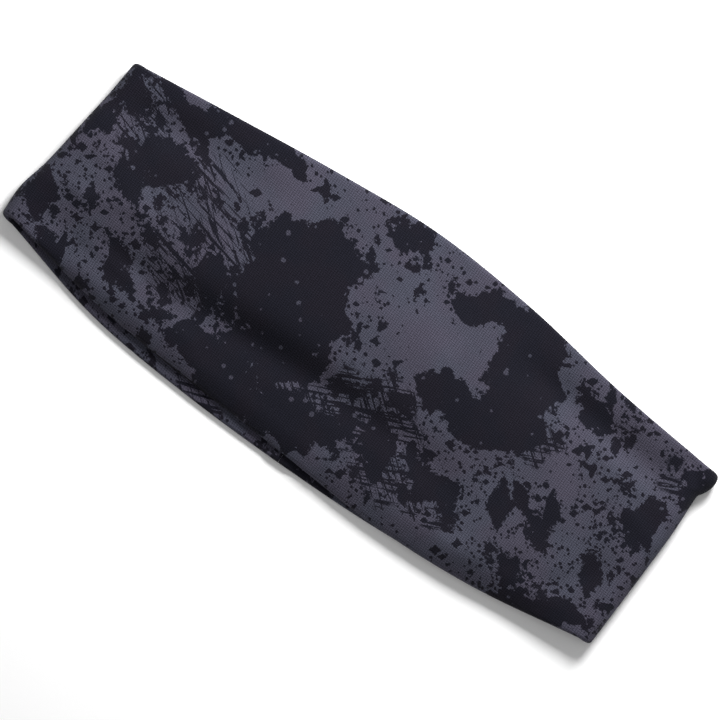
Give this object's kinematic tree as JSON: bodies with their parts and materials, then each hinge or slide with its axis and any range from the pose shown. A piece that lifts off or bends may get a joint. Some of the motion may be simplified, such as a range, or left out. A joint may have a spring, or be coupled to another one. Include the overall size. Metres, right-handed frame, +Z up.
{
  "type": "sports headband",
  "caption": "Wide stretch-knit sports headband lying flat: a printed shell with turned-in edges over a plain lining, closed by a centre back seam, with a small blank care label.",
  "frame": {"origin": "middle of the laid-flat footprint, on the surface that the band lies on", "axes": "+X along the band between its end folds, +Y across its width, +Z up through its two halves"},
  "size_m": [0.2422, 0.0914, 0.012],
  "materials": {
    "printed_knit": "matt stretch knit with a slate grey and ink splatter print",
    "lining_knit": "plain matt wicking knit",
    "sewing_thread": "twisted polyester thread",
    "label_satin": "soft satin ribbon, blank"
  },
  "bodies": {
    "band": {"outer_shell": "printed_knit", "inner_lining": "lining_knit", "lower_edge_seam_thread": "sewing_thread", "upper_edge_seam_thread": "sewing_thread", "outer_back_seam_thread": "sewing_thread", "inner_back_seam_thread": "sewing_thread", "lower_bartack": "sewing_thread", "upper_bartack": "sewing_thread", "care_label_stitch": "sewing_thread"},
    "label": {"care_label": "label_satin"}
  },
  "joints": [
    {"name": "label_lift", "type": "hinge", "parent": "band", "child": "label", "pos_m": [0.0077, 0, 0.0021], "axis": [0, -1, 0], "range_deg": [0, 15]}
  ]
}
